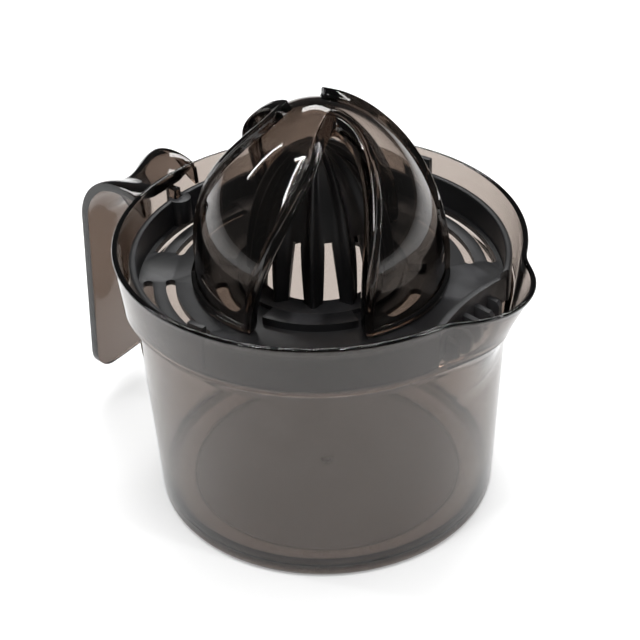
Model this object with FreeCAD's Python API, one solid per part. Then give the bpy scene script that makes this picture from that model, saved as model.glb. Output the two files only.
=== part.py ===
"""Citrus press juicer: a smoky jug with spout and hook handle, a black strainer tray
with a small ribbed reamer, and a large three-arched reamer that stands over it.

Everything is drawn about the jug's upright axis, spout towards +X and handle
towards -X, standing on z = 0, in millimetres.  At the end every piece is moved
along X so that the origin lies below the middle of the whole outline.
"""
import FreeCAD, Part
import math
import os

V = FreeCAD.Vector

# --- jug -------------------------------------------------------------------
jug_height = 98.0
jug_wall = 2.0
rim_radius = 68.0              # outside of the rim
collar_draft = 1.8             # how much the collar narrows from rim to foot
collar_step = 3.6              # ledge between the collar and the body
body_draft = 3.2               # how much the body narrows down to the bottom rounding
seat_drop = 18.0               # from the rim down to the inner ledge that carries the tray
collar_step_drop = 3.0         # height of the sloping step under the collar
bottom_round = 2.6
floor_height = 3.0
floor_fillet = 6.0             # inside corner between floor and wall
foot_ring_width = 11.9         # flat ring round the recess under the floor
foot_depth = 1.2
rim_round = 0.9
gate_radius = 2.2
gate_height = 0.7

seat_height = jug_height - seat_drop
collar_foot_radius = rim_radius - collar_draft
body_top_radius = collar_foot_radius - collar_step
body_base_radius = body_top_radius - body_draft
foot_inner_radius = body_base_radius - foot_ring_width

# --- spout -----------------------------------------------------------------
spout_lip_radius = 23.5        # radius of the lip seen from above
spout_throw = 9.5              # how far the lip's tip stands out past the rim
spout_drop = 38.0              # from the rim down to where the flare leaves the wall
spout_root_inset = 4.4         # how far inside the wall the flare starts
spout_blend = 2.2              # softness of the two throats beside the lip

spout_reach = rim_radius + spout_throw
spout_root_height = jug_height - spout_drop
spout_root_reach = body_top_radius - spout_root_inset

# --- hook handle -----------------------------------------------------------
handle_half_width = 15.5
handle_thickness = 3.0
handle_bottom = 11.5
handle_stand = 31.2            # outside of the panel from the rim
handle_corner = 9.0
handle_rise = 2.6              # top of the raised side edges above the rim
handle_crest_stand = 6.0       # where the side edges are highest, from the rim
handle_bend_depth = 15.0       # where the top turns down, from the panel's outside
crest_drop = 1.4               # how far that place stays below the top of the bend's circle
handle_dip = 4.2               # thumb dip between the side edges
handle_weld = 0.4              # how far the root sinks into the jug wall
cheek_height = 8.5             # side webs under the root of the handle
cheek_reach = 9.0
cheek_thickness = 2.0
cheek_root = 1.5               # how far a cheek starts inside the wall before it is trimmed

handle_reach = rim_radius + handle_stand
handle_top = jug_height + handle_rise
handle_crest_reach = rim_radius + handle_crest_stand
handle_bend_reach = handle_reach - handle_bend_depth

# --- tray ------------------------------------------------------------------
seat_gap = 0.25                # between the tray and the ledge under it
tray_floor_thickness = 2.0
tray_ring_height = 12.0        # from the ledge to the top of the ring
tray_seat_overlap = 0.4        # how far the ring stands out over the ledge
tray_ring_thickness = 2.4
ring_round = 0.8               # rounding of the ring's top
slot_width = 3.2
slot_insets = (13.0, 5.6)      # middle of each row of long slots, in from the ring's outside
slot_half_span = 21.0          # degrees
slot_sectors = (60.0, 120.0, 180.0, 240.0, 300.0)
inner_slot_inset = 8.0         # short slots under the lobes, in from the large reamer's outside
inner_slot_width = 4.0
inner_slot_half_span = 15.5
key_width = 3.0                # upright rib on the jug wall, below the handle
key_reach = 3.4
key_drop = 3.0                 # from the rim down to the top of the rib
key_gap = 0.35
key_wall = 2.0                 # wall of the pocket round the rib
tab_width = 6.0                # two lifting tabs on the ring
tab_gap = 0.3                  # between a tab and the inside of the collar
tab_root = 0.9                 # how far a tab sinks into the ring
tab_drop = 1.0                 # from the rim down to the top of a tab

# --- pulp comb beside the spout ---------------------------------------------
comb_half_span = 20.0          # degrees of ring that give way to the comb
comb_wall_inset = 8.5          # middle of the low wall behind the comb, in from the ring
comb_wall_bow = 3.2            # how far its ends lie further out
comb_wall_drop = 2.4           # from the top of the ring down to the top of that wall
comb_wall_thickness = 2.2
comb_pitch = 6.6
comb_tooth_thickness = 2.0
comb_tooth_drop = 6.0          # from the top of the ring down to the top of a tooth
comb_tooth_hang = 3.5          # how far the teeth hang below the ledge
comb_tooth_inset = 0.4         # outer end of the middle tooth, in from the ring
comb_tooth_round = 1.1         # rounding of a tooth's free end
comb_tooth_count = 5

tray_ring_top = seat_height + tray_ring_height
tray_ring_radius = body_top_radius + tray_seat_overlap
slot_rows = [tray_ring_radius - inset for inset in slot_insets]
key_top = jug_height - key_drop
tab_top = jug_height - tab_drop
comb_wall_x = tray_ring_radius - comb_wall_inset
comb_wall_top = tray_ring_top - comb_wall_drop
comb_tooth_top = tray_ring_top - comb_tooth_drop
comb_tooth_bottom = seat_height - comb_tooth_hang
comb_tooth_end = tray_ring_radius - comb_tooth_inset

# --- small reamer ----------------------------------------------------------
plinth_step = 2.6              # how far the plinth stands out round the ribs
plinth_height = 1.6
skirt_width = 3.5              # ring under the plinth that fits the hole of the tray
small_base_radius = 25.0
small_height = 49.0
small_wall = 2.0
small_rib_count = 12
small_rib_proud = 3.0
small_rib_thickness = 3.6
small_slot_width = 4.8
small_slot_height = 21.0
small_slot_inner = 8.0         # the slots are cut from here outwards

plinth_radius = small_base_radius + plinth_step

# --- key blocks of the tray under the arches --------------------------------
block_inner_gap = 1.6          # between the plinth and a block
block_outer_inset = 6.0        # outside of a block, in from the large reamer's outside
block_half_span = 25.5
block_height = 2.7

# --- large reamer ----------------------------------------------------------
large_gap = 0.3                # between the large reamer and the tray floor
large_radius = 41.4            # outside of the lobes
large_shoulder = 4.0           # upright part of the wall above the foot
large_height = 62.0            # foot to apex
large_taper = 1.18             # 1 is a plain ellipse; more draws the dome in towards its top
large_wall = 2.2
arch_count = 3
arch_first = 60.0              # degrees
arch_swing = 38.0              # how far each arch turns round on its way up
rim_proud = 1.3                # raised rim round each arch, at the foot
rim_rise = 3.0                 # the same at the top
rim_half = 28.6                # half angle of its outer edge
rim_foot_half = 31.0
rim_close_from = 0.66          # share up the dome where the arch rounds over
rim_close_at = 0.845
mouth_half = 24.6              # half angle of the opening at the shoulder
mouth_taper = 9.5              # how much of it is lost by the apex
mouth_foot_half = 25.8
mouth_close_from = 0.56
mouth_close_at = 0.75
arch_min_half = 0.5            # half angle kept at the very top of an outline
arch_inward = 7.0              # reach of the arch cutters into and out of the dome
arch_outward = 9.0
seam_angle = 16.0              # where no arch crosses the seam of the dome
foot_flange = 1.6              # how far the foot ring stands out of a lobe
foot_flange_height = 1.8

inner_slot_radius = large_radius - inner_slot_inset
block_inner_radius = plinth_radius + block_inner_gap
block_outer_radius = large_radius - block_outer_inset

sink = 0.2                     # overlap of fused details that would only touch
past = 1.0                     # how far a cutter runs past the faces it cuts

axis_x = (handle_reach - spout_reach) / 2.0
tray_z = seat_height + seat_gap
tray_floor_top = tray_z + tray_floor_thickness
large_z = tray_floor_top + large_gap


def rad(a):
    return a * math.pi / 180.0


def polar(r, a, z):
    """Point at radius r, a degrees, height z."""
    return V(r * math.cos(rad(a)), r * math.sin(rad(a)), z)


def line_wire(points):
    return Part.makePolygon([V(*p) for p in points] + [V(*points[0])])


def revolved(profile):
    """Solid of revolution about Z of a closed (radius, height) outline."""
    face = Part.Face(line_wire([(r, 0, z) for r, z in profile]))
    return face.revolve(V(0, 0, 0), V(0, 0, 1), 360)


def ring(r_in, r_out, z_low, z_high):
    body = Part.makeCylinder(r_out, z_high - z_low, V(0, 0, z_low))
    if r_in > 0:
        body = body.cut(Part.makeCylinder(r_in, z_high - z_low + 2 * past, V(0, 0, z_low - past)))
    return body


def arc_bar(radius, width, a_mid, a_half, z_low, z_high):
    """Curved bar with round ends that follows a circle about the jug axis."""
    inner = radius - width / 2.0
    outer = radius + width / 2.0
    lo = a_mid - a_half
    hi = a_mid + a_half
    edges = [
        Part.Arc(polar(outer, lo, z_low), polar(outer, a_mid, z_low), polar(outer, hi, z_low)).toShape(),
        Part.Arc(polar(outer, hi, z_low), end_point(radius, hi, width, 1, z_low), polar(inner, hi, z_low)).toShape(),
        Part.Arc(polar(inner, hi, z_low), polar(inner, a_mid, z_low), polar(inner, lo, z_low)).toShape(),
        Part.Arc(polar(inner, lo, z_low), end_point(radius, lo, width, -1, z_low), polar(outer, lo, z_low)).toShape(),
    ]
    return Part.Face(Part.Wire(edges)).extrude(V(0, 0, z_high - z_low))


def end_point(radius, a, width, side, z):
    """Tip of the round end of an arc bar."""
    p = polar(radius, a, z)
    t = rad(a + 90.0 * side)
    return V(p.x + width / 2.0 * math.cos(t), p.y + width / 2.0 * math.sin(t), z)


def wedge(a_mid, a_half, r_out, z_low, z_high):
    """Pie slice about the axis."""
    slice_ = Part.makeCylinder(r_out, z_high - z_low, V(0, 0, z_low), V(0, 0, 1), 2 * a_half)
    slice_.rotate(V(0, 0, 0), V(0, 0, 1), a_mid - a_half)
    return slice_


# --- jug -------------------------------------------------------------------
def wall_radius(z):
    """Outside radius of the plain jug wall at height z, without the spout."""
    if z <= seat_height - collar_step_drop:
        share = (z - bottom_round) / (seat_height - collar_step_drop - bottom_round)
        return body_base_radius + (body_top_radius - body_base_radius) * max(share, 0.0)
    if z < seat_height:
        share = (z - seat_height + collar_step_drop) / collar_step_drop
        return body_top_radius + (collar_foot_radius - body_top_radius) * share
    share = (z - seat_height) / (jug_height - seat_height)
    return collar_foot_radius + (rim_radius - collar_foot_radius) * share


def flare_radius(z, a):
    """Distance from the axis to the leaning round lip at angle a, or 0 beside it."""
    share = (z - spout_root_height) / (jug_height - spout_root_height)
    reach = spout_root_reach + (spout_reach - spout_root_reach) * share
    centre = reach - spout_lip_radius
    across = centre * math.sin(rad(a))
    if abs(a) > 90 or abs(across) > spout_lip_radius:
        return 0.0
    return centre * math.cos(rad(a)) + math.sqrt(spout_lip_radius ** 2 - across ** 2)


def jug_radius(z, a):
    """Wall and flare blended by a smooth maximum."""
    wall = wall_radius(z)
    if z <= spout_root_height:
        return wall
    lift = math.exp((flare_radius(z, a) - wall) / spout_blend)
    return wall + spout_blend * math.log(1 + lift)


def jug_section(z, inset, z_shape=None):
    """Closed smooth curve round the jug, inset from the outside at height z_shape."""
    count = 120
    level = z if z_shape is None else z_shape
    points = []
    for i in range(count):
        a = -180.0 + 360.0 * i / count
        points.append(polar(jug_radius(level, a) - inset, a, z))
    curve = Part.BSplineCurve()
    curve.interpolate(Points=points, PeriodicFlag=True)
    return Part.Wire([curve.toShape()])


def ease(radius, steps):
    """Quarter round: (distance from the flat end, inset) pairs."""
    return [(radius * (1 - math.cos(rad(90.0 * k / steps))), radius * (1 - math.sin(rad(90.0 * k / steps))))
            for k in range(steps + 1)]


def between(low, high, shares):
    return [low + (high - low) * share for share in shares]


def make_jug():
    step_low = seat_height - collar_step_drop
    body_levels = [between(bottom_round, spout_root_height, [0.5])[0]]
    body_levels += between(spout_root_height, step_low, [0.0, 0.25, 0.5, 0.75, 1.0])
    collar_levels = between(seat_height, jug_height - rim_round, [0.0, 0.3, 0.6, 0.85])
    outer = []
    for up, inset in ease(bottom_round, 4):
        outer.append(jug_section(up, inset, bottom_round))
    for z in body_levels + collar_levels:
        outer.append(jug_section(z, 0))
    for up, inset in reversed(ease(rim_round, 4)):
        outer.append(jug_section(jug_height - up, inset))
    body = Part.makeLoft(outer, True, True)

    inner = []
    for up, inset in ease(floor_fillet, 5):
        inner.append(jug_section(floor_height + up, jug_wall + inset))
    for z in body_levels:
        inner.append(jug_section(z, jug_wall))
    inner.append(jug_section(seat_height, jug_wall, step_low + 0.35 * collar_step_drop))
    cavity = Part.makeLoft(inner, True, True)
    upper = [jug_section(z, jug_wall) for z in collar_levels]
    for up, inset in reversed(ease(rim_round, 4)):
        upper.append(jug_section(jug_height - up, jug_wall - inset))
    upper.append(jug_section(jug_height + 1.0, jug_wall - rim_round, jug_height))
    collar = Part.makeLoft(upper, True, True)

    body = body.cut(collar).cut(cavity)
    body = body.cut(Part.makeCylinder(foot_inner_radius, foot_depth + past, V(0, 0, -past)))
    gate = Part.makeCone(gate_radius, gate_radius - gate_height, gate_height + sink, V(0, 0, floor_height - sink))
    body = body.fuse(gate)
    rib_in = wall_radius(seat_height) - jug_wall - key_reach
    rib = Part.makeBox(key_reach + jug_wall / 2.0, key_width, key_top - seat_height + sink,
                       V(-rib_in - key_reach - jug_wall / 2.0, -key_width / 2.0, seat_height - sink))
    return body.fuse(rib)


# --- handle ----------------------------------------------------------------
def handle_rail(dip, depth):
    """Side outline of the hook as (distance from the axis, height), root to tip.

    dip lowers the thumb rest between the side edges; depth moves the line
    in through the thickness of the plate.
    """
    start = wall_radius(jug_height) - handle_weld
    return [
        (start - 0.8, jug_height - 1.0 - 0.2 * dip - depth),
        (handle_crest_reach, handle_top - crest_drop - 0.9 * dip - depth),
        (handle_bend_reach - 0.25 * depth, handle_top - 3.1 - dip - 0.97 * depth),
        (handle_bend_reach + 6.4 - 0.65 * dip - 0.7 * depth, handle_top - 9.0 - 0.75 * dip - 0.7 * depth),
        (handle_bend_reach + 10.0 - 0.35 * dip - 0.98 * depth, handle_top - 19.0 - 0.4 * dip - 0.2 * depth),
        (handle_reach - 0.995 * depth, handle_bottom),
    ]


def rail_edges(points, y):
    """Two arcs and a straight panel through the points of a rail."""
    p = [V(-x, y, z) for x, z in points]
    return [
        Part.Arc(p[0], p[1], p[2]).toShape(),
        Part.Arc(p[2], p[3], p[4]).toShape(),
        Part.LineSegment(p[4], p[5]).toShape(),
    ]


def strip_wire(y, dip):
    """Closed side outline of the hook's plate at width position y."""
    outer = handle_rail(dip, 0.0)
    inner = handle_rail(dip, handle_thickness)
    tip = Part.LineSegment(V(-outer[-1][0], y, outer[-1][1]), V(-inner[-1][0], y, inner[-1][1])).toShape()
    root = Part.LineSegment(V(-inner[0][0], y, inner[0][1]), V(-outer[0][0], y, outer[0][1])).toShape()
    return Part.Wire(rail_edges(outer, y) + [tip] + list(reversed(rail_edges(inner, y))) + [root])


def make_handle():
    wires = []
    for share in (-1.0, -0.75, -0.5, -0.25, 0.0, 0.25, 0.5, 0.75, 1.0):
        sink = handle_dip * math.cos(share * math.pi / 2.0) ** 2
        wires.append(strip_wire(share * handle_half_width, sink))
    plate = Part.makeLoft(wires, True, False)
    for side in (-1, 1):
        edge = side * handle_half_width
        long = 5 * handle_thickness
        size = handle_corner + past
        centre = V(-handle_reach - handle_thickness, edge - side * handle_corner, handle_bottom + handle_corner)
        block = Part.makeBox(long, size, size, V(centre.x, min(centre.y, centre.y + side * size), centre.z - size))
        plate = plate.cut(block.cut(Part.makeCylinder(handle_corner, long, centre, V(1, 0, 0))))
    collar_x = wall_radius(jug_height - cheek_height)
    for side in (-1, 1):
        y0 = side * (handle_half_width - cheek_thickness / 2.0) - cheek_thickness / 2.0
        x_at = math.sqrt(collar_x ** 2 - handle_half_width ** 2) - handle_weld
        web = Part.Face(line_wire([
            (-x_at + cheek_root, y0, jug_height - handle_thickness),
            (-x_at + cheek_root, y0, jug_height - cheek_height),
            (-x_at - past, y0, jug_height - cheek_height),
            (-x_at - cheek_reach, y0, handle_top - handle_thickness - past),
            (-x_at - cheek_reach, y0, handle_top - handle_thickness + past),
        ])).extrude(V(0, cheek_thickness, 0))
        plate = plate.fuse(web)
    clear = []
    for z in [seat_height - collar_step_drop] + between(seat_height, jug_height - rim_round, [0, 0.3, 0.6, 0.85, 1]):
        clear.append(jug_section(z, handle_weld))
    clear.append(jug_section(handle_top + handle_corner, handle_weld, jug_height - rim_round))
    return plate.cut(Part.makeLoft(clear, True, True))


# --- tray ------------------------------------------------------------------
def make_tray():
    tray = ring(0, tray_ring_radius, tray_z, tray_floor_top)
    wall = revolved([
        (tray_ring_radius - tray_ring_thickness, tray_floor_top - sink),
        (tray_ring_radius, tray_z + sink),
        (tray_ring_radius, tray_ring_top - ring_round),
        (tray_ring_radius - 0.3 * ring_round, tray_ring_top - 0.3 * ring_round),
        (tray_ring_radius - ring_round, tray_ring_top),
        (tray_ring_radius - tray_ring_thickness + ring_round, tray_ring_top),
        (tray_ring_radius - tray_ring_thickness + 0.3 * ring_round, tray_ring_top - 0.3 * ring_round),
        (tray_ring_radius - tray_ring_thickness, tray_ring_top - ring_round),
    ])
    tray = tray.fuse(wall)

    mouth = wedge(0, comb_half_span, rim_radius, tray_z - past, tray_ring_top + past)
    back = comb_wall_x + comb_wall_thickness / 2.0
    half = tray_ring_radius * math.sin(rad(comb_half_span))
    wide = half + past
    outline = Part.Wire([
        Part.Arc(V(back + comb_wall_bow, -wide, 0), V(back, 0, 0), V(back + comb_wall_bow, wide, 0)).toShape(),
        Part.LineSegment(V(back + comb_wall_bow, wide, 0), V(rim_radius, wide, 0)).toShape(),
        Part.LineSegment(V(rim_radius, wide, 0), V(rim_radius, -wide, 0)).toShape(),
        Part.LineSegment(V(rim_radius, -wide, 0), V(back + comb_wall_bow, -wide, 0)).toShape(),
    ])
    bay = Part.Face(outline).extrude(V(0, 0, tray_ring_top + past))
    tray = tray.cut(bay.common(mouth))
    low = comb_wall_x - comb_wall_thickness / 2.0
    wall_line = Part.Wire([
        Part.Arc(V(back + comb_wall_bow, -half, 0), V(back, 0, 0), V(back + comb_wall_bow, half, 0)).toShape(),
        Part.LineSegment(V(back + comb_wall_bow, half, 0), V(low + comb_wall_bow, half, 0)).toShape(),
        Part.Arc(V(low + comb_wall_bow, half, 0), V(low, 0, 0), V(low + comb_wall_bow, -half, 0)).toShape(),
        Part.LineSegment(V(low + comb_wall_bow, -half, 0), V(back + comb_wall_bow, -half, 0)).toShape(),
    ])
    bar = Part.Face(wall_line).extrude(V(0, 0, comb_wall_top - tray_z))
    bar.translate(V(0, 0, tray_z))
    bar = bar.common(Part.makeCylinder(tray_ring_radius - ring_round, tray_ring_top))
    tray = tray.fuse(bar)
    drop = comb_tooth_top - comb_tooth_bottom
    for i in range(comb_tooth_count):
        y = (i - (comb_tooth_count - 1) / 2.0) * comb_pitch
        end = math.sqrt(comb_tooth_end ** 2 - y ** 2)
        heel = V(comb_wall_x, y, comb_tooth_bottom + 0.34 * drop)
        head = V(comb_wall_x, y, comb_tooth_top)
        brow = V(end - comb_tooth_round, y, comb_tooth_top - 0.1 * drop)
        nose = V(end, y, comb_tooth_top - 0.23 * drop)
        chin = V(end, y, comb_tooth_bottom + 0.45 * drop)
        throat = V(end - 2 * comb_tooth_round, y, comb_tooth_bottom + 0.08 * drop)
        tooth = Part.Wire([
            Part.LineSegment(heel, head).toShape(),
            Part.LineSegment(head, brow).toShape(),
            Part.LineSegment(brow, nose).toShape(),
            Part.LineSegment(nose, chin).toShape(),
            Part.Arc(chin, throat, heel).toShape(),
        ])
        plate = Part.Face(tooth).extrude(V(0, comb_tooth_thickness, 0))
        plate.translate(V(0, -comb_tooth_thickness / 2.0, 0))
        tray = tray.fuse(plate)

    pocket_in = wall_radius(seat_height) - jug_wall - key_reach - key_gap
    pocket_half = key_width / 2.0 + key_gap
    pillar = Part.makeBox(tray_ring_radius - ring_round - pocket_in, 2 * (pocket_half + key_wall),
                          tray_ring_top - tray_floor_top,
                          V(-tray_ring_radius + ring_round, -pocket_half - key_wall, tray_floor_top))
    pillar = pillar.fuse(Part.makeCylinder(pocket_half + key_wall, tray_ring_top - tray_floor_top,
                                           V(-pocket_in, 0, tray_floor_top)))
    tray = tray.fuse(pillar)
    pocket = Part.makeBox(rim_radius, 2 * pocket_half, jug_height, V(-pocket_in - rim_radius, -pocket_half, 0))
    tray = tray.cut(pocket)
    tab_in = tray_ring_radius - tab_root
    tab_out = wall_radius(seat_height) - jug_wall - tab_gap
    for side in (-1, 1):
        tab = Part.makeBox(tab_width, tab_out - tab_in, tab_top - tray_floor_top,
                           V(-tab_width / 2.0, min(side * tab_in, side * tab_out), tray_floor_top))
        tray = tray.fuse(tab)

    for a in slot_sectors:
        for r in slot_rows:
            trim = math.degrees(slot_width / 2.0 / r)
            tray = tray.cut(arc_bar(r, slot_width, a, slot_half_span - trim, tray_z - past, tray_floor_top + past))
    for k in range(arch_count):
        arch = arch_first + k * 360.0 / arch_count
        lobe = arch + 180.0 / arch_count
        trim = math.degrees(inner_slot_width / 2.0 / inner_slot_radius)
        tray = tray.cut(arc_bar(inner_slot_radius, inner_slot_width, lobe, inner_slot_half_span - trim,
                                tray_z - past, tray_floor_top + past))
        block = ring(block_inner_radius, block_outer_radius, tray_floor_top - sink, tray_floor_top + block_height)
        tray = tray.fuse(block.common(wedge(arch, block_half_span, rim_radius, tray_z, tray_ring_top)))
    return tray.cut(Part.makeCylinder(plinth_radius, tray_ring_top))


# --- small reamer ----------------------------------------------------------
def small_radius(z, shrink):
    """Radius of the small reamer's dome z above the tray floor."""
    share = min(max(z / (small_height - shrink), 0.0), 1.0)
    return (small_base_radius - shrink) * math.sqrt(1.0 - share ** 2.1)


def dome(shrink, height, steps):
    """Solid dome of the small reamer, drawn in by shrink."""
    profile = [(0.0, 0.0)]
    for i in range(steps + 1):
        a = rad(90.0 * i / steps)
        z = height * math.sin(a)
        profile.append((small_radius(z, shrink), z))
    profile[-1] = (0.0, height)
    curve = Part.BSplineCurve()
    curve.interpolate([V(r, 0, z) for r, z in profile[1:]])
    edges = [
        Part.LineSegment(V(0, 0, 0), V(profile[1][0], 0, 0)).toShape(),
        curve.toShape(),
        Part.LineSegment(V(0, 0, height), V(0, 0, 0)).toShape(),
    ]
    return Part.Face(Part.Wire(edges)).revolve(V(0, 0, 0), V(0, 0, 1), 360)


def make_small_reamer():
    solid = dome(small_rib_proud, small_height - small_rib_proud, 12)
    hollow = dome(small_rib_proud + small_wall, small_height - small_rib_proud - small_wall, 12)
    envelope = dome(0.0, small_height, 12)
    ribs = None
    for i in range(small_rib_count):
        plate = Part.makeBox(plinth_radius, small_rib_thickness, small_height + past,
                             V(past, -small_rib_thickness / 2.0, 0))
        plate.rotate(V(0, 0, 0), V(0, 0, 1), 360.0 * i / small_rib_count)
        ribs = plate if ribs is None else ribs.fuse(plate)
    ribs = ribs.common(envelope)
    body = solid.fuse(ribs)
    body = body.fuse(ring(0, plinth_radius, 0, plinth_height))
    body = body.cut(hollow)
    slots = None
    for i in range(small_rib_count):
        cutter = Part.makeBox(plinth_radius, small_slot_width, small_slot_height,
                              V(small_slot_inner, -small_slot_width / 2.0, plinth_height))
        cutter.rotate(V(0, 0, 0), V(0, 0, 1), 360.0 * (i + 0.5) / small_rib_count)
        slots = cutter if slots is None else slots.fuse(cutter)
    body = body.cut(slots)
    inside = small_base_radius - small_rib_proud - small_wall
    body = body.cut(Part.makeCylinder(inside, plinth_height + 2 * sink, V(0, 0, -sink)))
    skirt = ring(plinth_radius - skirt_width, plinth_radius, tray_z, tray_floor_top + sink)
    body.translate(V(0, 0, tray_floor_top))
    return body.fuse(skirt)


# --- large reamer ----------------------------------------------------------
def meridian(share, out, up):
    """Point (radius, height) and slope of the dome's side line, -1 at the foot, 1 at the apex.

    out moves the line away from the axis, up lifts its top.
    """
    r = large_radius + out
    h = large_height + up - large_shoulder
    if share <= 0.0:
        return r, large_shoulder + share * large_shoulder, 0.0
    a = rad(90.0 * share)
    narrow = max(math.cos(a), 0.0) ** large_taper
    tilt = math.atan2(large_taper * r * narrow * math.sin(a), h * math.cos(a) ** 2)
    return r * narrow, large_shoulder + h * math.sin(a), tilt


def large_dome(out, up):
    """Solid dome with an upright shoulder at its foot."""
    curve = Part.BSplineCurve()
    curve.interpolate([V(r, 0, z) for r, z, tilt in [meridian(i / 10.0, out, up) for i in range(11)]])
    top = large_height + up
    side = large_radius + out
    edges = [
        Part.LineSegment(V(0, 0, 0), V(side, 0, 0)).toShape(),
        Part.LineSegment(V(side, 0, 0), V(side, 0, large_shoulder)).toShape(),
        curve.toShape(),
        Part.LineSegment(V(0, 0, top), V(0, 0, 0)).toShape(),
    ]
    return Part.Face(Part.Wire(edges)).revolve(V(0, 0, 0), V(0, 0, 1), 360)


def arch_lean(z):
    """Degrees an arch has swung round at height z above the foot."""
    return arch_swing * (max(z, 0.0) / large_height) ** 2.1


def arch_outline(half, taper, foot_half, close_from, close_at):
    """One side of an arch outline: (share up the dome, half angle) pairs."""
    outline = [(-1.0, foot_half), (-0.5, 0.4 * foot_half + 0.6 * half), (0.0, half)]
    for i in range(1, 7):
        share = close_from * i / 6.0
        outline.append((share, half - taper * share))
    for i in range(1, 4):
        a = rad(30.0 * i)
        share = close_from + (close_at - close_from) * math.sin(a)
        outline.append((share, (half - taper * share) * math.cos(a)))
    return outline


def arch_cutter(outline):
    """Solid that follows an arch outline over the dome and reaches through its wall."""
    wires = []
    for share, half in outline:
        r, z, tilt = meridian(share, 0.0, 0.0)
        lean = arch_lean(z)
        half = max(half, arch_min_half)
        r_in = max(r - arch_inward * math.cos(tilt), sink)
        r_out = r + arch_outward * math.cos(tilt)
        z_in = z - arch_inward * math.sin(tilt)
        z_out = z + arch_outward * math.sin(tilt)
        wires.append(line_wire([
            tuple(polar(r_in, lean - half, z_in)),
            tuple(polar(r_out, lean - half, z_out)),
            tuple(polar(r_out, lean + half, z_out)),
            tuple(polar(r_in, lean + half, z_in)),
        ]))
    first = wires[0].copy()
    first.translate(V(0, 0, -past))
    return Part.makeLoft([first] + wires, True, False)


def make_large_reamer():
    """Dome with three leaning arches, each with a raised flat rim round its opening."""
    shell = large_dome(0.0, 0.0).cut(large_dome(-large_wall, -large_wall))
    shell = shell.fuse(ring(large_radius - large_wall / 2.0, large_radius + foot_flange, 0, foot_flange_height))
    shell.rotate(V(0, 0, 0), V(0, 0, 1), seam_angle)
    raised = large_dome(rim_proud, rim_rise).cut(large_dome(-large_wall / 2.0, -large_wall / 2.0))
    raised.rotate(V(0, 0, 0), V(0, 0, 1), seam_angle)
    crest = arch_cutter(arch_outline(rim_half, 0.0, rim_foot_half, rim_close_from, rim_close_at))
    mouth = arch_cutter(arch_outline(mouth_half, mouth_taper, mouth_foot_half, mouth_close_from, mouth_close_at))
    turns = [arch_first + k * 360.0 / arch_count for k in range(arch_count)]
    for turn in turns:
        piece = crest.copy()
        piece.rotate(V(0, 0, 0), V(0, 0, 1), turn)
        shell = shell.fuse(raised.common(piece))
    for turn in turns:
        piece = mouth.copy()
        piece.rotate(V(0, 0, 0), V(0, 0, 1), turn)
        shell = shell.cut(piece)
    shell = shell.cut(Part.makeCylinder(jug_height, jug_height, V(0, 0, -jug_height)))
    shell.translate(V(0, 0, large_z))
    return shell


def save(shape, name):
    shape.translate(V(axis_x, 0, 0))
    shape.exportStep("parts/" + name + ".step")


os.makedirs("parts", exist_ok=True)
jug = make_jug()
handle = make_handle()
tray = make_tray()
small = make_small_reamer()
large = make_large_reamer()
save(jug, "jug")
save(handle, "handle")
save(tray, "strainer_tray")
save(small, "small_reamer")
save(large, "large_reamer")
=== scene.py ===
"""Citrus press juicer: smoky see-through jug with a hook handle, black strainer tray with a
small ribbed reamer, and a smoky large reamer with three leaning arches.

Shapes are drawn in millimetres about the jug's upright axis, spout towards +X and handle
towards -X, and are moved and scaled into the frame as each piece is finished.
"""
import bmesh
import bpy
import math
from mathutils import Matrix, Vector
from mathutils.kdtree import KDTree


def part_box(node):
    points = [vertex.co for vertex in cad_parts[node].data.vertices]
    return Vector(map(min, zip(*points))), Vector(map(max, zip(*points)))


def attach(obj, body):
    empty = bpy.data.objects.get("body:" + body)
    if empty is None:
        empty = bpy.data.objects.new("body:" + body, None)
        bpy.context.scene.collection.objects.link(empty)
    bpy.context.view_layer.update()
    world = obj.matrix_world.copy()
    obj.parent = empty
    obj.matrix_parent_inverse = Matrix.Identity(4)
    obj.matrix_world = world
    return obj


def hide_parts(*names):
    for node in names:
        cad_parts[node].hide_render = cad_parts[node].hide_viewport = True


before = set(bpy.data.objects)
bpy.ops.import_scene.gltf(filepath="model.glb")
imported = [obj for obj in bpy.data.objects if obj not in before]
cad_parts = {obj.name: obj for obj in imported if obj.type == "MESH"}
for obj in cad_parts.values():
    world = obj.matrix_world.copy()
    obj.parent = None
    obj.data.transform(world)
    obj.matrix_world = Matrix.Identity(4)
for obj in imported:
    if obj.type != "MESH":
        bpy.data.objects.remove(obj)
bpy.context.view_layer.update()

MM = 0.001

# --- places read from the frame, in millimetres -------------------------------------
jug_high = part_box("jug")[1]
handle_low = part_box("handle")[0]
small_low, small_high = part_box("small_reamer")
large_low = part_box("large_reamer")[0]
axis_x = (small_low.x + small_high.x) / 2 / MM
jug_height = jug_high.z / MM
large_foot = large_low.z / MM
handle_reach = axis_x - handle_low.x / MM

# --- jug sizes ------------------------------------------------------------------------
jug_wall = 2.0
rim_radius = 68.0
collar_foot_radius = 66.2
seat_height = 80.0
collar_step_drop = 3.0
collar_step_low = seat_height - collar_step_drop
body_top_radius = 62.6
body_base_radius = 59.4
bottom_round = 2.6
floor_height = 3.0
floor_fillet = 6.0
foot_inner_radius = 47.5
foot_depth = 1.2
foot_edge_round = 0.6
rim_round = 0.95
spout_lip_radius = 23.5
spout_reach = 77.5
spout_root_height = 60.0
spout_root_reach = 58.2
spout_blend = 2.2
key_width = 3.0
key_reach = 3.4
key_top = 95.0
key_sunk = 1.0                # into the collar wall

# --- handle sizes ----------------------------------------------------------------------
handle_half_width = 15.5
handle_thickness = 3.0
handle_corner = 9.0
handle_top = 100.6
handle_bottom = 11.5
handle_crest_reach = 74.0
handle_bend_reach = 84.2
crest_drop = 1.4
handle_dip = 4.2
cheek_height = 8.5
cheek_reach = 9.0
cheek_thickness = 2.0
root_gap = 0.04

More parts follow.
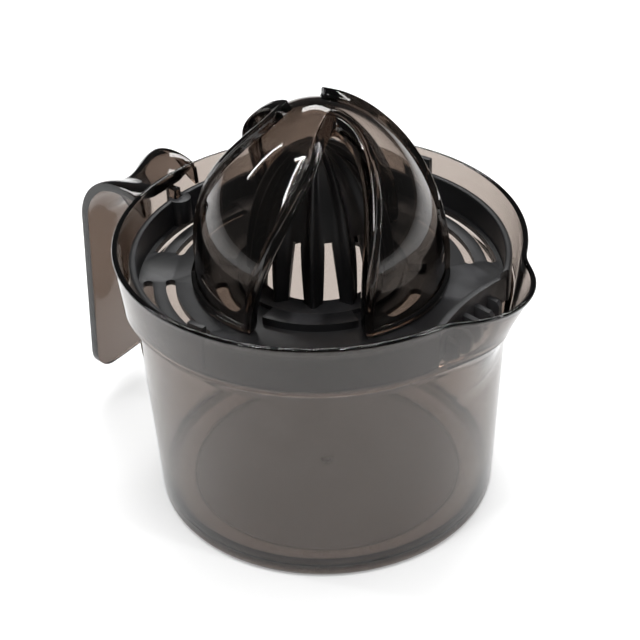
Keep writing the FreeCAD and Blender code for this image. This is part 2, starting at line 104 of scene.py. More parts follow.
# --- large reamer sizes ------------------------------------------------------------------
large_radius = 41.4
large_shoulder = 4.0
large_height = 62.0
large_taper = 1.18
large_wall = 2.2
arch_count = 3
arch_first = 60.0
arch_swing = 38.0
arch_swing_power = 2.1        # how late up the dome the arches start to lean
rim_proud = 1.5
rim_rise = 3.0
rim_groove = 0.45
rim_half = 28.6
rim_foot_half = 31.0
rim_close_from = 0.66
rim_close_at = 0.845
mouth_half = 24.6
mouth_taper = 9.5
mouth_foot_half = 25.8
mouth_close_from = 0.56
mouth_close_at = 0.75
foot_flange = 1.55
dome_edge_round = 0.38
round_limit = 0.01            # points closer than this are the same point

# --- small reamer sizes -------------------------------------------------------------------
tray_floor = 2.0
plinth_radius = 27.6
plinth_height = 1.6
skirt_width = 3.5
small_base_radius = 25.0
small_height = 48.9
small_wall = 2.0
small_rib_count = 12
small_rib_proud = 3.0
small_slot_half = 2.8
small_slot_taper = 1.3
small_slot_height = 21.0
small_profile_power = 2.1
small_edge_round = 0.3
slot_rows = 12                # rows of faces up a slot
apex_share = 0.9              # a hole above this share of the height is the one left at the apex


# --- small helpers ---------------------------------------------------------------------
def linear(code):
    """sRGB hex code to a linear colour with alpha."""
    parts = [int(code[i:i + 2], 16) / 255 for i in (1, 3, 5)]
    return tuple(c / 12.92 if c <= 0.04045 else ((c + 0.055) / 1.055) ** 2.4 for c in parts) + (1.0,)


def add_node(tree, kind, settings=None, links=None):
    """Add a node, set its sockets or properties, and link its inputs."""
    made = tree.nodes.new(kind)
    for key, value in (settings or {}).items():
        if isinstance(key, int) or key in made.inputs:
            made.inputs[key].default_value = value
        else:
            setattr(made, key, value)
    for key, source in (links or {}).items():
        tree.links.new(source, made.inputs[key])
    return made


def arc(cx, cz, radius, start, end, steps):
    """Points on a quarter or other arc in the side plane, angles in degrees."""
    points = []
    for k in range(steps + 1):
        a = math.radians(start + (end - start) * k / steps)
        points.append((cx + radius * math.cos(a), cz + radius * math.sin(a)))
    return points


def smooth_step(low, high, value):
    """0 below low, 1 above high, and an even S between them."""
    t = min(max((value - low) / (high - low), 0.0), 1.0)
    return t * t * (3 - 2 * t)


def finish_piece(bm, name, material, body, replaced, sharp=38.0):
    """Move a drawn shape into the frame, shade it, and make it ride its body."""
    bm.transform(Matrix.Scale(MM, 4) @ Matrix.Translation((axis_x, 0, 0)))
    for face in bm.faces:
        face.smooth = True
    for edge in bm.edges:
        edge.smooth = len(edge.link_faces) != 2 or edge.calc_face_angle(0.0) < math.radians(sharp)
    mesh = bpy.data.meshes.new(name)
    bm.to_mesh(mesh)
    bm.free()
    piece = bpy.data.objects.new(name, mesh)
    bpy.context.scene.collection.objects.link(piece)
    mesh.materials.append(material)
    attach(piece, body)
    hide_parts(*replaced)
    return piece


def sharp_edges(bm, degrees):
    """Edges between two faces that turn by more than the given angle."""
    limit = math.radians(degrees)
    return [edge for edge in bm.edges if edge.is_manifold and edge.calc_face_angle(0.0) > limit]


def round_edges(bm, edges, offset, segments, clamp=True):
    """Round edges over by an offset in millimetres."""
    bmesh.ops.bevel(bm, geom=edges, offset=offset, segments=segments, profile=0.5, affect="EDGES",
                    material=-1, offset_type="OFFSET", clamp_overlap=clamp)


def repeat_round(bm, count):
    """Copy a sector round the axis until the circle is full, and merge the copies."""
    first = list(bm.verts) + list(bm.edges) + list(bm.faces)
    for k in range(1, count):
        copy = bmesh.ops.duplicate(bm, geom=first)
        verts = [item for item in copy["geom"] if isinstance(item, bmesh.types.BMVert)]
        turn = Matrix.Rotation(math.radians(360 / count * k), 3, "Z")
        bmesh.ops.rotate(bm, cent=(0, 0, 0), matrix=turn, verts=verts)
    bmesh.ops.remove_doubles(bm, verts=bm.verts, dist=round_limit)


def close_apex(bm, height):
    """Close the small hole left at the apex with a fan of triangles."""
    limit = height * apex_share
    rim = [edge for edge in bm.edges if edge.is_boundary and min(v.co.z for v in edge.verts) > limit]
    bmesh.ops.holes_fill(bm, edges=rim, sides=0)
    lid = max(bm.faces, key=lambda face: len(face.verts))
    bmesh.ops.poke(bm, faces=[lid])


def join_solids(base, added, operation):
    """Union or difference of two closed shapes; both are used up and the result is returned."""
    holders = []
    for bm in (base, added):
        mesh = bpy.data.meshes.new("union")
        bm.to_mesh(mesh)
        bm.free()
        holder = bpy.data.objects.new("union", mesh)
        bpy.context.scene.collection.objects.link(holder)
        holders.append(holder)
    modifier = holders[0].modifiers.new("union", "BOOLEAN")
    modifier.operation = operation
    modifier.solver = "EXACT"
    modifier.object = holders[1]
    depsgraph = bpy.context.evaluated_depsgraph_get()
    joined = bmesh.new()
    joined.from_object(holders[0], depsgraph)
    for holder in holders:
        mesh = holder.data
        bpy.data.objects.remove(holder)
        bpy.data.meshes.remove(mesh)
    return joined


# --- jug -------------------------------------------------------------------------------
def wall_radius(z):
    """Outside radius of the plain jug wall at height z."""
    if z <= collar_step_low:
        share = max((z - bottom_round) / (collar_step_low - bottom_round), 0.0)
        return body_base_radius + (body_top_radius - body_base_radius) * share
    if z < seat_height:
        share = (z - collar_step_low) / collar_step_drop
        return body_top_radius + (collar_foot_radius - body_top_radius) * share
    share = (z - seat_height) / (jug_height - seat_height)
    return collar_foot_radius + (rim_radius - collar_foot_radius) * share


def jug_radius(z, a):
    """Wall radius with the leaning round lip blended in at angle a (radians)."""
    wall = wall_radius(z)
    if z <= spout_root_height:
        return wall
    share = (z - spout_root_height) / (jug_height - spout_root_height)
    centre = spout_root_reach + (spout_reach - spout_root_reach) * share - spout_lip_radius
    across = centre * math.sin(a)
    if math.cos(a) <= 0 or abs(across) > spout_lip_radius:
        return wall
    flare = centre * math.cos(a) + math.sqrt(spout_lip_radius ** 2 - across ** 2)
    if flare < wall - 6 * spout_blend:
        return wall
    return wall + spout_blend * math.log(1 + math.exp((flare - wall) / spout_blend))


def jug_outline():
    """Half section of the jug, from the middle of its underside round to the middle of its floor."""
    step_low = collar_step_low
    out = [(0, foot_depth), (20, foot_depth), (38, foot_depth)]
    edge = foot_edge_round
    out += arc(foot_inner_radius - edge, foot_depth - edge, edge, 90, 0, 3)
    out += arc(foot_inner_radius + edge, edge, edge, 180, 270, 3)
    out += arc(body_base_radius - bottom_round, bottom_round, bottom_round, 270, 360, 8)
    rows = (10, 20, 30, 40, 50, 56, 60, 62, 64, 66, 68, 70, 72, 74, 75.5)
    out += [(wall_radius(z), z) for z in rows]
    out += [(body_top_radius, step_low - 0.3), (body_top_radius + 0.3, step_low + 0.15)]
    out += [(wall_radius(step_low + k), step_low + k) for k in (0.7, 1.5, 2.3)]
    out += [(collar_foot_radius - 0.35, seat_height - 0.45), (collar_foot_radius + 0.05, seat_height - 0.1)]
    out += [(collar_foot_radius + 0.1, seat_height + 0.4)]
    out += [(wall_radius(z), z) for z in (82, 84, 86, 88, 90, 92, 94, 95.5, 96.5)]
    top = rim_radius - jug_wall / 2
    out += arc(top, jug_height - rim_round, jug_wall / 2, 0, 180, 12)
    out += [(wall_radius(z) - jug_wall, z) for z in (96, 94, 92, 90, 88, 86, 84, 82, 81)]
    ledge_in = wall_radius(step_low) - jug_wall + 0.5
    out += arc(collar_foot_radius - jug_wall - 0.5, seat_height + 0.5, 0.5, 0, -90, 3)
    out += arc(ledge_in + 0.4, seat_height - 0.4, 0.4, 90, 180, 3)
    rows = (78, 76, 74, 72, 70, 68, 66, 64, 62, 60, 56, 50, 40, 30, 20, 13)
    out += [(wall_radius(z) - jug_wall, z) for z in rows]
    fillet_at = body_base_radius + 0.1 - jug_wall - floor_fillet
    out += arc(fillet_at, floor_height + floor_fillet, floor_fillet, 0, -90, 8)
    out += [(44, floor_height), (30, floor_height), (15, floor_height), (5, floor_height)]
    gate_mark = [(2.4, 0), (1.9, 0.55), (1.2, 0.75), (0, 0.8)]
    out += [(r, floor_height + up) for r, up in gate_mark]
    return out


def revolve(points, steps, ring=False):
    """Spin a (radius, height) outline; it ends on the axis, or closes on itself as a ring."""
    bm = bmesh.new()
    verts = [bm.verts.new((r, 0, z)) for r, z in points]
    following = verts[1:] + verts[:1] if ring else verts[1:]
    edges = [bm.edges.new(pair) for pair in zip(verts, following)]
    bmesh.ops.spin(bm, geom=verts + edges, cent=(0, 0, 0), axis=(0, 0, 1), angle=2 * math.pi,
                   steps=steps, use_merge=True)
    bmesh.ops.remove_doubles(bm, verts=bm.verts, dist=1e-4)
    bmesh.ops.recalc_face_normals(bm, faces=bm.faces)
    return bm


def add_shape(base, added):
    """Put a second shape into the first one's mesh."""
    mesh = bpy.data.meshes.new("added")
    added.to_mesh(mesh)
    added.free()
    base.from_mesh(mesh)
    bpy.data.meshes.remove(mesh)


def draw_jug():
    """Spun jug with the collar above the lip's root pushed out into the lip."""
    bm = revolve(jug_outline(), 288)
    for vert in bm.verts:
        x, y, z = vert.co
        if z <= spout_root_height:
            continue
        r = math.hypot(x, y)
        a = math.atan2(y, x)
        grown = jug_radius(min(z, jug_height), a) + r - wall_radius(min(z, jug_height))
        vert.co = (grown * math.cos(a), grown * math.sin(a), z)
    return bm


def draw_wall_cutter():
    """Solid that trims the handle's root just outside the jug wall."""
    heights = (jug_height - 24.0, collar_step_low, seat_height, 86.0, 92.0, jug_height - 1.0,
               handle_top + 9.0)
    outline = [(0.0, heights[0])]
    outline += [(wall_radius(min(z, jug_height)) + root_gap, z) for z in heights]
    outline += [(0.0, heights[-1])]
    return revolve(outline, 288)


def circle_through(p, q, s, steps):
    """Points along the arc from p through q to s."""
    ax, az = p
    bx, bz = q
    cx, cz = s
    d = 2 * (ax * (bz - cz) + bx * (cz - az) + cx * (az - bz))
    aa = ax * ax + az * az
    bb = bx * bx + bz * bz
    cc = cx * cx + cz * cz
    ux = (aa * (bz - cz) + bb * (cz - az) + cc * (az - bz)) / d
    uz = (aa * (cx - bx) + bb * (ax - cx) + cc * (bx - ax)) / d
    radius = math.hypot(ax - ux, az - uz)
    start = math.atan2(az - uz, ax - ux)
    end = math.atan2(cz - uz, cx - ux)
    if end > start:
        end -= 2 * math.pi
    return [(ux + radius * math.cos(start + (end - start) * k / steps),
             uz + radius * math.sin(start + (end - start) * k / steps)) for k in range(steps + 1)]


def handle_rail(dip):
    """Outer side line of the hook, (distance from the axis, height), from the rim to the tip."""
    start = rim_radius - 0.4
    p = [
        (start - 0.8, jug_height - 1.0 - 0.2 * dip),
        (handle_crest_reach, handle_top - crest_drop - 0.9 * dip),
        (handle_bend_reach, handle_top - 3.1 - dip),
        (handle_bend_reach + 6.4 - 0.65 * dip, handle_top - 9.0 - 0.75 * dip),
        (handle_bend_reach + 10.0 - 0.35 * dip, handle_top - 19.0 - 0.4 * dip),
        (handle_reach, handle_bottom),
    ]
    rail = circle_through(p[0], p[1], p[2], 12) + circle_through(p[2], p[3], p[4], 14)[1:]
    panel = [0.04, 0.1, 0.2, 0.35, 0.5, 0.65, 0.78]
    rail += [(p[4][0] + (p[5][0] - p[4][0]) * k, p[4][1] + (p[5][1] - p[4][1]) * k) for k in panel]
    for k in range(9):
        up = handle_corner * (1 - math.sin(math.radians(90 * k / 8)))
        share = 1 - up / (p[4][1] - p[5][1])
        rail.append((p[4][0] + (p[5][0] - p[4][0]) * share, p[4][1] + (p[5][1] - p[4][1]) * share))
    return rail


def draw_handle():
    """Bent plate with raised side edges: a grid laid along the hook and given its thickness."""
    rows = len(handle_rail(0.0))
    columns = 29
    bm = bmesh.new()
    bmesh.ops.create_grid(bm, x_segments=columns - 1, y_segments=rows - 1, size=1.0)
    rails = {}
    for vert in bm.verts:
        share = vert.co.x
        k = round((vert.co.y + 1) / 2 * (rows - 1))
        dip = handle_dip * math.cos(share * math.pi / 2) ** 2
        key = round(share, 4)
        if key not in rails:
            rails[key] = handle_rail(dip)
        x, z = rails[key][k]
        up = z - handle_bottom
        half = handle_half_width
        if up < handle_corner:
            half -= handle_corner - math.sqrt(max(handle_corner ** 2 - (handle_corner - up) ** 2, 0.0))
        vert.co = (-x, share * half, z)
    bmesh.ops.recalc_face_normals(bm, faces=bm.faces)
    if sum((face.normal.x - face.normal.z for face in bm.faces)) > 0:
        bmesh.ops.reverse_faces(bm, faces=bm.faces)
    bmesh.ops.solidify(bm, geom=bm.faces, thickness=handle_thickness)
    bmesh.ops.recalc_face_normals(bm, faces=bm.faces)
    round_edges(bm, sharp_edges(bm, 60), 1.0, 3)
    return bm


def draw_cheek(side):
    """Web under one edge of the handle's root."""
    collar = wall_radius(jug_height - cheek_height)
    x_at = math.sqrt(collar ** 2 - handle_half_width ** 2) - 0.4
    y0 = side * (handle_half_width - cheek_thickness / 2) - cheek_thickness / 2
    outline = [
        (-x_at + 1.2, jug_height - 3.0),
        (-x_at + 1.2, jug_height - cheek_height),
        (-x_at - 1.0, jug_height - cheek_height),
        (-x_at - cheek_reach * 0.55, jug_height - cheek_height * 0.72),
        (-x_at - cheek_reach, handle_top - 4.4),
        (-x_at - cheek_reach, handle_top - 2.6),
    ]
    bm = bmesh.new()
    face = bm.faces.new([bm.verts.new((x, y0 + 0.15, z)) for x, z in outline])
    grown = bmesh.ops.extrude_face_region(bm, geom=[face])
    moved = [item for item in grown["geom"] if isinstance(item, bmesh.types.BMVert)]
    bmesh.ops.translate(bm, verts=moved, vec=(0, cheek_thickness - 0.3, 0))
    bmesh.ops.recalc_face_normals(bm, faces=bm.faces)
    return bm


def draw_key_rib():
    """Upright rib on the inside of the collar that locates the tray."""
    bm = bmesh.new()
    bmesh.ops.create_cube(bm, size=1.0)
    inner = wall_radius(seat_height) - jug_wall - key_reach
    length = key_reach + key_sunk
    bottom = seat_height - 0.4
    bmesh.ops.scale(bm, vec=(length, key_width, key_top - bottom), verts=bm.verts)
    bmesh.ops.translate(bm, vec=(-inner - length / 2, 0, (key_top + bottom) / 2), verts=bm.verts)
    upright = [edge for edge in bm.edges
               if abs(edge.verts[0].co.z - edge.verts[1].co.z) > 1 and edge.verts[0].co.x > -inner - 1]
    round_edges(bm, upright, 0.7, 3, clamp=False)
    return bm


# --- large reamer ------------------------------------------------------------------------
def meridian(share, out, up):
    """Point (radius, height) on the dome; share -1 is the foot, 0 the shoulder, 1 the apex."""
    r = large_radius + out
    if share <= 0:
        return r, large_shoulder * (1 + share)
    a = math.radians(90 * share)
    rise = (large_height + up - large_shoulder) * math.sin(a)
    return r * max(math.cos(a), 0.0) ** large_taper, large_shoulder + rise


def outline_half(share, half, taper, foot_half, close_from, close_at):
    """Half angle of an arch outline at a place up the dome; 0 above its top."""
    if share < 0:
        return half + (foot_half - half) * share * share
    width = half - taper * share
    if share <= close_from:
        return width
    if share >= close_at:
        return 0.0
    t = (share - close_from) / (close_at - close_from)
    return width * math.sqrt(1 - t * t)


def mouth_at(share):
    """Half angle of the hole through the dome."""
    return outline_half(share, mouth_half, mouth_taper, mouth_foot_half, mouth_close_from, mouth_close_at)


def crest_at(share):
    """Half angle of the outer edge of the raised rim round the hole."""
    return outline_half(share, rim_half, 0.0, rim_foot_half, rim_close_from, rim_close_at)


def lean(z):
    """Angle, in degrees, by which the middle of an arch has turned at height z."""
    return arch_swing * (max(z, 0.0) / large_height) ** arch_swing_power


def dome_point(share, angle, out, up):
    """Point on the dome for an angle measured from the leaning middle of the first arch."""
    r, z = meridian(share, out, up)
    a = math.radians(angle + lean(z))
    return Vector((r * math.cos(a), r * math.sin(a), z))


def crest_tree():
    """Search tree of points along the outer edge of one arch's rim."""
    count = 400
    tree = KDTree(2 * count)
    for side in (0, 1):
        for k in range(count):
            share = -1 + (1 + rim_close_at) * (1 - (1 - k / (count - 1)) ** 2)
            share = min(share, rim_close_at)
            tree.insert(dome_point(share, (1 - 2 * side) * crest_at(share), 0.0, 0.0), side * count + k)
    tree.balance()
    return tree


def dome_rows():
    """Places up the dome for the rows of the grid, closer together where the arches round over."""
    rows = [-1.0, -0.95, -0.6, -0.56, -0.52, -0.48, -0.3, -0.15]
    rows += [mouth_close_from * k / 26 for k in range(27)]
    span = mouth_close_at - mouth_close_from
    rows += [mouth_close_from + span * math.sin(math.radians(90 * k / 16)) for k in range(1, 17)]
    rows += [mouth_close_at + (0.90 - mouth_close_at) * k / 18 for k in range(1, 19)]
    rows += [0.915, 0.93, 0.95, 0.97, 0.985]
    return rows


def draw_dome_third(wall, ridged, tree):
    """Grid over one lobe, from the mouth of one arch to the mouth of the next."""
    rows = dome_rows()
    band = 12
    middle = 30
    columns = 2 * band + middle
    third = 360.0 / arch_count
    bm = bmesh.new()
    bmesh.ops.create_grid(bm, x_segments=columns, y_segments=len(rows) - 1, size=1.0)
    for vert in bm.verts:
        i = round((vert.co.x + 1) / 2 * columns)
        share = rows[round((vert.co.y + 1) / 2 * (len(rows) - 1))]
        radius = meridian(share, 0.0, 0.0)[0]
        mouth = mouth_at(share)
        edge = min(max(crest_at(share) + 2.0, mouth + math.degrees(5.0 / max(radius, 8.0))), 55.0)
        if i <= band:
            angle = mouth + (edge - mouth) * i / band
        elif i >= columns - band:
            angle = third - mouth - (edge - mouth) * (columns - i) / band
        else:
            angle = edge + (third - 2 * edge) * (i - band) / middle
        place = dome_point(share, angle, -wall, -wall)
        if ridged:
            near = angle if angle < third / 2 else angle - third
            probe = dome_point(share, near, 0.0, 0.0)
            distance = tree.find(probe)[2]
            depth = distance if abs(near) < crest_at(share) else -distance
            swell = smooth_step(-0.35, 0.7, depth)
            scoop = smooth_step(2.6, 6.5, depth) * smooth_step(0.35, 0.75, share)
            groove = rim_groove * math.exp(-((depth - 2.1) / 0.5) ** 2)
            groove *= 1 - smooth_step(0.55, 0.75, share)
            flange = foot_flange * (1 - smooth_step(-0.58, -0.5, share))
            place = dome_point(share, angle, max(rim_proud * swell * (1 - scoop), flange) - groove,
                               rim_rise * swell * (1 - 0.8 * scoop) - groove)
        vert.co = place
    return bm


def draw_dome(wall, ridged, tree):
    """Three lobes joined round the axis, closed at the top."""
    bm = draw_dome_third(wall, ridged, tree)
    repeat_round(bm, arch_count)
    close_apex(bm, large_height)
    for vert in bm.verts:
        if math.hypot(vert.co.x, vert.co.y) < 0.05:
            vert.co.z = large_height - wall
    turn = Matrix.Rotation(math.radians(arch_first), 3, "Z")
    bmesh.ops.rotate(bm, cent=(0, 0, 0), matrix=turn, verts=bm.verts)
    return bm


def draw_large_reamer():
    """Outer and inner dome bridged along the open border, with its edges rounded."""
    tree = crest_tree()
    outer = draw_dome(0.0, True, tree)
    inner = draw_dome(large_wall, False, tree)
    bmesh.ops.reverse_faces(inner, faces=inner.faces)
    add_shape(outer, inner)
    border = [edge for edge in outer.edges if edge.is_boundary]
    bmesh.ops.bridge_loops(outer, edges=border)
    bmesh.ops.recalc_face_normals(outer, faces=outer.faces)
    round_edges(outer, sharp_edges(outer, 55), dome_edge_round, 2)
    bmesh.ops.translate(outer, vec=(0, 0, large_foot), verts=outer.verts)
    return outer


# --- strainer tray: the frame's own mesh with its edges eased -------------------------------
def eased_copy(node, offset, angle):
    """Merged copy of a CAD node in millimetres about the jug axis, with rounded edges."""
    bm = bmesh.new()
    bm.from_mesh(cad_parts[node].data)
    bm.transform(Matrix.Translation((-axis_x, 0, 0)) @ Matrix.Scale(1 / MM, 4))
    bmesh.ops.remove_doubles(bm, verts=bm.verts, dist=0.002)
    bmesh.ops.dissolve_limit(bm, angle_limit=math.radians(1.0), verts=bm.verts, edges=bm.edges)
    round_edges(bm, sharp_edges(bm, angle), offset, 2)
    bmesh.ops.triangulate(bm, faces=[face for face in bm.faces if len(face.verts) > 4])
    return bm


# --- small reamer ------------------------------------------------------------------------
def small_radius(z):
    """Radius of the rib crests z above the tray floor."""
    share = min(max(z / small_height, 0.0), 1.0)
    return small_base_radius * math.sqrt(1.0 - share ** small_profile_power)


def small_heights():
    """Heights of the rows: even over the slots, then closer towards the apex."""
    rows = [plinth_height + small_slot_height * k / slot_rows for k in range(slot_rows + 1)]
    start = math.asin(rows[-1] / small_height)
    rows += [small_height * math.sin(start + (math.pi / 2 - start) * k / 26) for k in range(1, 26)]
    return rows


def draw_small_reamer():
    """Equal sectors, each from the middle of one slot over a rib to the next, on a plinth ring."""
    heights = small_heights()
    columns = 32
    slot_columns = 5
    pitch = 360.0 / small_rib_count
    bm = bmesh.new()
    bmesh.ops.create_grid(bm, x_segments=columns, y_segments=len(heights) - 1, size=1.0)
    slots = []
    for face in bm.faces:
        middle = face.calc_center_median()
        column = (middle.x + 1) / 2 * columns
        row = (middle.y + 1) / 2 * (len(heights) - 1)
        if row < slot_rows and (column < slot_columns or column > columns - slot_columns):
            slots.append(face)
    bmesh.ops.delete(bm, geom=slots, context="FACES")
    for vert in bm.verts:
        i = round((vert.co.x + 1) / 2 * columns)
        z = heights[round((vert.co.y + 1) / 2 * (len(heights) - 1))]
        crest = small_radius(z)
        depth = small_rib_proud * (1 - math.exp(-crest / 5.0))
        up = min(z / small_slot_height, 1.0)
        slot = math.degrees((small_slot_half - small_slot_taper * up) / (small_base_radius - small_rib_proud))
        if i <= slot_columns:
            angle = slot * i / slot_columns
        elif i >= columns - slot_columns:
            angle = pitch - slot * (columns - i) / slot_columns
        else:
            angle = slot + (pitch - 2 * slot) * (i - slot_columns) / (columns - 2 * slot_columns)
        off = abs(angle - pitch / 2) / (pitch / 2)
        r = crest - depth * (1 - math.exp(-(off / 0.3) ** 2.2))
        a = math.radians(angle + pitch / 2)
        vert.co = (r * math.cos(a), r * math.sin(a), z)
    repeat_round(bm, small_rib_count)
    close_apex(bm, small_height)
    bmesh.ops.recalc_face_normals(bm, faces=bm.faces)
    if sum(face.normal.z for face in bm.faces) < 0:
        bmesh.ops.reverse_faces(bm, faces=bm.faces)
    bmesh.ops.solidify(bm, geom=bm.faces, thickness=small_wall)
    bmesh.ops.recalc_face_normals(bm, faces=bm.faces)
    round_edges(bm, sharp_edges(bm, 60), small_edge_round, 2)
    inside = small_base_radius - small_rib_proud - small_wall
    skirt = plinth_radius - skirt_width
    outline = [
        (skirt, -tray_floor),
        (plinth_radius - 0.3, -tray_floor),
        (plinth_radius, 0.3 - tray_floor),
        (plinth_radius, plinth_height - 0.5),
        (plinth_radius - 0.15, plinth_height - 0.15),
        (plinth_radius - 0.5, plinth_height),
        (inside, plinth_height),
        (inside, 0.0),
        (skirt, 0.0),
    ]
    add_shape(bm, revolve(outline, 144, ring=True))
    bmesh.ops.translate(bm, vec=(0, 0, small_low.z / MM + tray_floor), verts=bm.verts)
    return bm


# --- materials ------------------------------------------------------------------------------
styrene_tints = ("#F1EEEB", "#F6F4F2")
styrene_smoke = "#9F8A78"


def map_range(tree, source, low, high, bottom, top):
    """Stretch a value from one range to another."""
    settings = {"From Min": low, "From Max": high, "To Min": bottom, "To Max": top}
    return add_node(tree, "ShaderNodeMapRange", settings, {"Value": source}).outputs["Result"]


def noise(tree, place, scale, detail, roughness):
    """Noise in Object coordinates; the scale is in cycles per metre."""
    settings = {"Scale": scale, "Detail": detail, "Roughness": roughness}
    return add_node(tree, "ShaderNodeTexNoise", settings, {"Vector": place.outputs["Object"]}).outputs["Fac"]


def two_tones(tree, source, dark, light):
    """Blend between two sRGB colours by a noise."""
    ramp = add_node(tree, "ShaderNodeValToRGB", None, {"Fac": source})
    ramp.color_ramp.elements[0].position = 0.3
    ramp.color_ramp.elements[0].color = linear(dark)
    ramp.color_ramp.elements[1].position = 0.75
    ramp.color_ramp.elements[1].color = linear(light)
    return ramp.outputs["Color"]


def empty_material(name):
    """New material with only an output and the coordinates; gives all three back."""
    material = bpy.data.materials.new(name)
    material.use_nodes = True
    tree = material.node_tree
    tree.nodes.clear()
    out = add_node(tree, "ShaderNodeOutputMaterial")
    place = add_node(tree, "ShaderNodeTexCoord")
    return material, tree, out, place


def wear_and_sheen_edges(tree, patches):
    """Where hands and drying cloths rub on the smoky plastic, and a painted sheen on the black plastic:
    convex edges only, broken up by the patches.
    """
    shape = add_node(tree, "ShaderNodeNewGeometry")
    edge = map_range(tree, shape.outputs["Pointiness"], 0.53, 0.6, 0.0, 1.0)
    broken = map_range(tree, patches, 0.4, 0.6, 0.15, 1.0)
    # On the smoky plastic this mask only roughens the edges; on the black plastic it carries a painted sheen.
    wear_and_sheen = add_node(tree, "ShaderNodeMath", {"operation": "MULTIPLY"}, {0: edge, 1: broken})
    return wear_and_sheen.outputs["Value"]


def smoky_styrene(name, density, haze):
    """Injection-moulded SAN, tinted smoke: see-through, glossy, darker where it is thick.

    The eye sees a warm grey that deepens along the walls, faint flow marks, and duller rubbed edges.
    """
    material, tree, out, place = empty_material(name)
    flow = noise(tree, place, 38.0, 2.0, 0.5)
    wear = noise(tree, place, 220.0, 5.0, 0.65)
    shade = two_tones(tree, flow, styrene_tints[0], styrene_tints[1])
    rough = map_range(tree, wear, 0.35, 0.75, haze, haze + 0.05)
    scuffed = add_node(tree, "ShaderNodeMath", {"operation": "MULTIPLY_ADD", 1: 0.12},
                       {0: wear_and_sheen_edges(tree, wear), 2: rough})
    bump = add_node(tree, "ShaderNodeBump", {"Strength": 0.06, "Distance": 0.0006}, {"Height": flow})
    body = add_node(tree, "ShaderNodeBsdfPrincipled",
                    {"IOR": 1.57, "Transmission Weight": 1.0, "Specular IOR Level": 0.5},
                    {"Base Color": shade, "Roughness": scuffed.outputs["Value"],
                     "Normal": bump.outputs["Normal"]})
    depth = add_node(tree, "ShaderNodeVolumeAbsorption", {"Color": linear(styrene_smoke), "Density": density})
    tree.links.new(body.outputs["BSDF"], out.inputs["Surface"])
    tree.links.new(depth.outputs["Volume"], out.inputs["Volume"])
    return material


def black_polypropylene(name, grain_mm, relief):
    """Black PP from a spark-eroded mould.

    The eye sees a satin black with a fine even grain, and greyer edges and rib crests where a sheen is
    painted in.
    """
    material, tree, out, place = empty_material(name)
    grain = noise(tree, place, 1.0 / (grain_mm * MM), 3.0, 0.6)
    cloud = noise(tree, place, 60.0, 3.0, 0.5)
    shade = two_tones(tree, cloud, "#131314", "#202022")
    # Painted sheen: convex edges and rib crests are greyed towards #3A3A3C to stand in for highlights.
    painted_sheen = add_node(tree, "ShaderNodeMix", {"data_type": "RGBA", 7: linear("#3A3A3C")},
                      {0: wear_and_sheen_edges(tree, cloud), 6: shade})
    rough = map_range(tree, grain, 0.3, 0.7, 0.33, 0.5)
    bump = add_node(tree, "ShaderNodeBump", {"Strength": relief, "Distance": 0.00008}, {"Height": grain})
    body = add_node(tree, "ShaderNodeBsdfPrincipled", {"IOR": 1.49},
                    {"Base Color": painted_sheen.outputs[2], "Roughness": rough, "Normal": bump.outputs["Normal"]})
    tree.links.new(body.outputs["BSDF"], out.inputs["Surface"])
    return material


def white_sweep():
    """Matt white sweep, lit from below like a light table so the smoky walls glow."""
    material = bpy.data.materials.new("white_paper")
    material.use_nodes = True
    body = material.node_tree.nodes["Principled BSDF"]
    body.inputs["Base Color"].default_value = linear("#F4F4F4")
    body.inputs["Roughness"].default_value = 0.9
    body.inputs["Emission Color"].default_value = (1.0, 1.0, 1.0, 1.0)
    body.inputs["Emission Strength"].default_value = 0.3
    body.inputs["Specular IOR Level"].default_value = 0.1
    return material


# --- pieces ------------------------------------------------------------------------------------
jug_smoke = smoky_styrene("smoky_styrene_jug", 590.0, 0.04)
handle_smoke = smoky_styrene("smoky_styrene_handle", 960.0, 0.03)
reamer_smoke = smoky_styrene("smoky_styrene_reamer", 700.0, 0.015)
tray_black = black_polypropylene("black_polypropylene_tray", 0.35, 0.1)
small_black = black_polypropylene("black_polypropylene_reamer", 0.45, 0.4)

handle_shape = draw_handle()
for part in (draw_cheek(-1), draw_cheek(1)):
    handle_shape = join_solids(handle_shape, part, "UNION")
handle_shape = join_solids(handle_shape, draw_wall_cutter(), "DIFFERENCE")
finish_piece(handle_shape, "hook_handle", handle_smoke, "jug_body", ("handle",))
jug_shape = join_solids(draw_jug(), draw_key_rib(), "UNION")
finish_piece(jug_shape, "jug_shell", jug_smoke, "jug_body", ("jug",))
finish_piece(draw_large_reamer(), "large_arched_reamer", reamer_smoke, "large_reamer_body",
             ("large_reamer",))
finish_piece(eased_copy("strainer_tray", 0.3, 35), "strainer_tray_moulding", tray_black, "tray_body",
             ("strainer_tray",))
finish_piece(draw_small_reamer(), "small_ribbed_reamer", small_black, "tray_body",
             ("small_reamer",))

# --- studio ---------------------------------------------------------------------------------------
floor_bm = bmesh.new()
bmesh.ops.create_grid(floor_bm, x_segments=4, y_segments=4, size=3.0)
floor_mesh = bpy.data.meshes.new("studio_floor")
floor_bm.to_mesh(floor_mesh)
floor_bm.free()
floor = bpy.data.objects.new("studio_floor", floor_mesh)
bpy.context.scene.collection.objects.link(floor)
floor_mesh.materials.append(white_sweep())

world = bpy.data.worlds.new("studio")
bpy.context.scene.world = world
world.use_nodes = True
world.node_tree.nodes["Background"].inputs["Color"].default_value = (1.0, 1.0, 1.0, 1.0)
world.node_tree.nodes["Background"].inputs["Strength"].default_value = 0.07

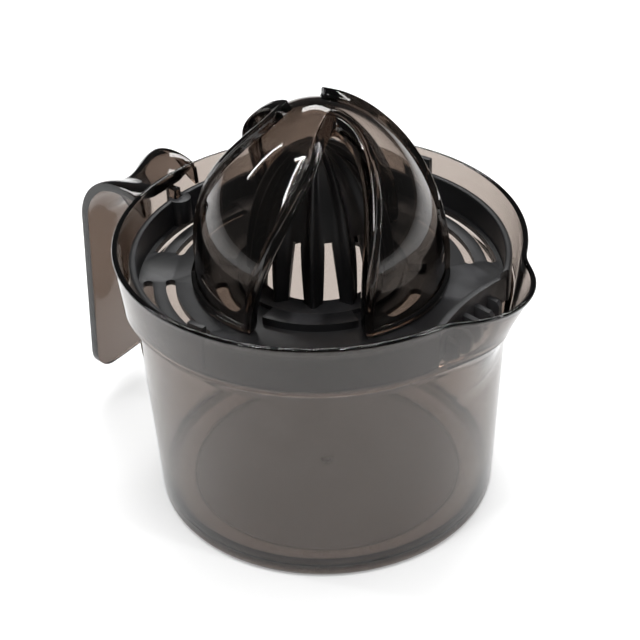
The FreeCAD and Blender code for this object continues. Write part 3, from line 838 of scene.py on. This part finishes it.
target = Vector((axis_x * MM, 0, 0.0628))
to_aim = Vector((-0.00066, -0.0005, 0))
view_distance = 0.517


def softbox(name, azimuth, elevation, distance, width, height, power):
    """Rectangular soft light aimed at the juicer; azimuth is measured from +X."""
    data = bpy.data.lights.new(name, "AREA")
    data.shape = "RECTANGLE"
    data.size = width
    data.size_y = height
    data.energy = power
    light = bpy.data.objects.new(name, data)
    bpy.context.scene.collection.objects.link(light)
    a = math.radians(azimuth)
    e = math.radians(elevation)
    away = Vector((math.cos(a) * math.cos(e), math.sin(a) * math.cos(e), math.sin(e)))
    light.location = target + away * distance
    light.rotation_euler = away.to_track_quat("Z", "Y").to_euler()
    return light


tent = softbox("tent_top", 100, 80, 1.6, 1.8, 1.6, 23.0)
tent.visible_glossy = False
softbox("back_overhead", 120, 50, 1.6, 1.1, 0.3, 9.0)
softbox("left_strip", 205, 40, 1.3, 0.05, 0.7, 2.0)
softbox("right_strip", 5, 30, 1.4, 0.12, 0.9, 4.0)
softbox("front_strip", 300, 72, 1.3, 1.0, 0.04, 3.5)
softbox("front_left_strip", 262, 50, 1.3, 0.04, 0.9, 2.5)

camera_data = bpy.data.cameras.new("camera")
camera_data.lens = 85.5
camera_data.sensor_width = 36.0
camera = bpy.data.objects.new("camera", camera_data)
bpy.context.scene.collection.objects.link(camera)
view_azimuth = math.radians(-53.0)
view_elevation = math.radians(34.1)
away = Vector((math.cos(view_azimuth) * math.cos(view_elevation),
               math.sin(view_azimuth) * math.cos(view_elevation), math.sin(view_elevation)))
upright = away.to_track_quat("Z", "Y").to_matrix().to_4x4()
roll = Matrix.Rotation(math.radians(-2.0), 4, "Z")
camera.matrix_world = Matrix.Translation(target + to_aim + away * view_distance) @ upright @ roll
bpy.context.scene.camera = camera
bpy.context.scene.view_settings.view_transform = "Standard"
bpy.context.scene.cycles.max_bounces = 24
bpy.context.scene.cycles.transmission_bounces = 24
bpy.context.scene.cycles.caustics_reflective = True
bpy.context.scene.cycles.caustics_refractive = True
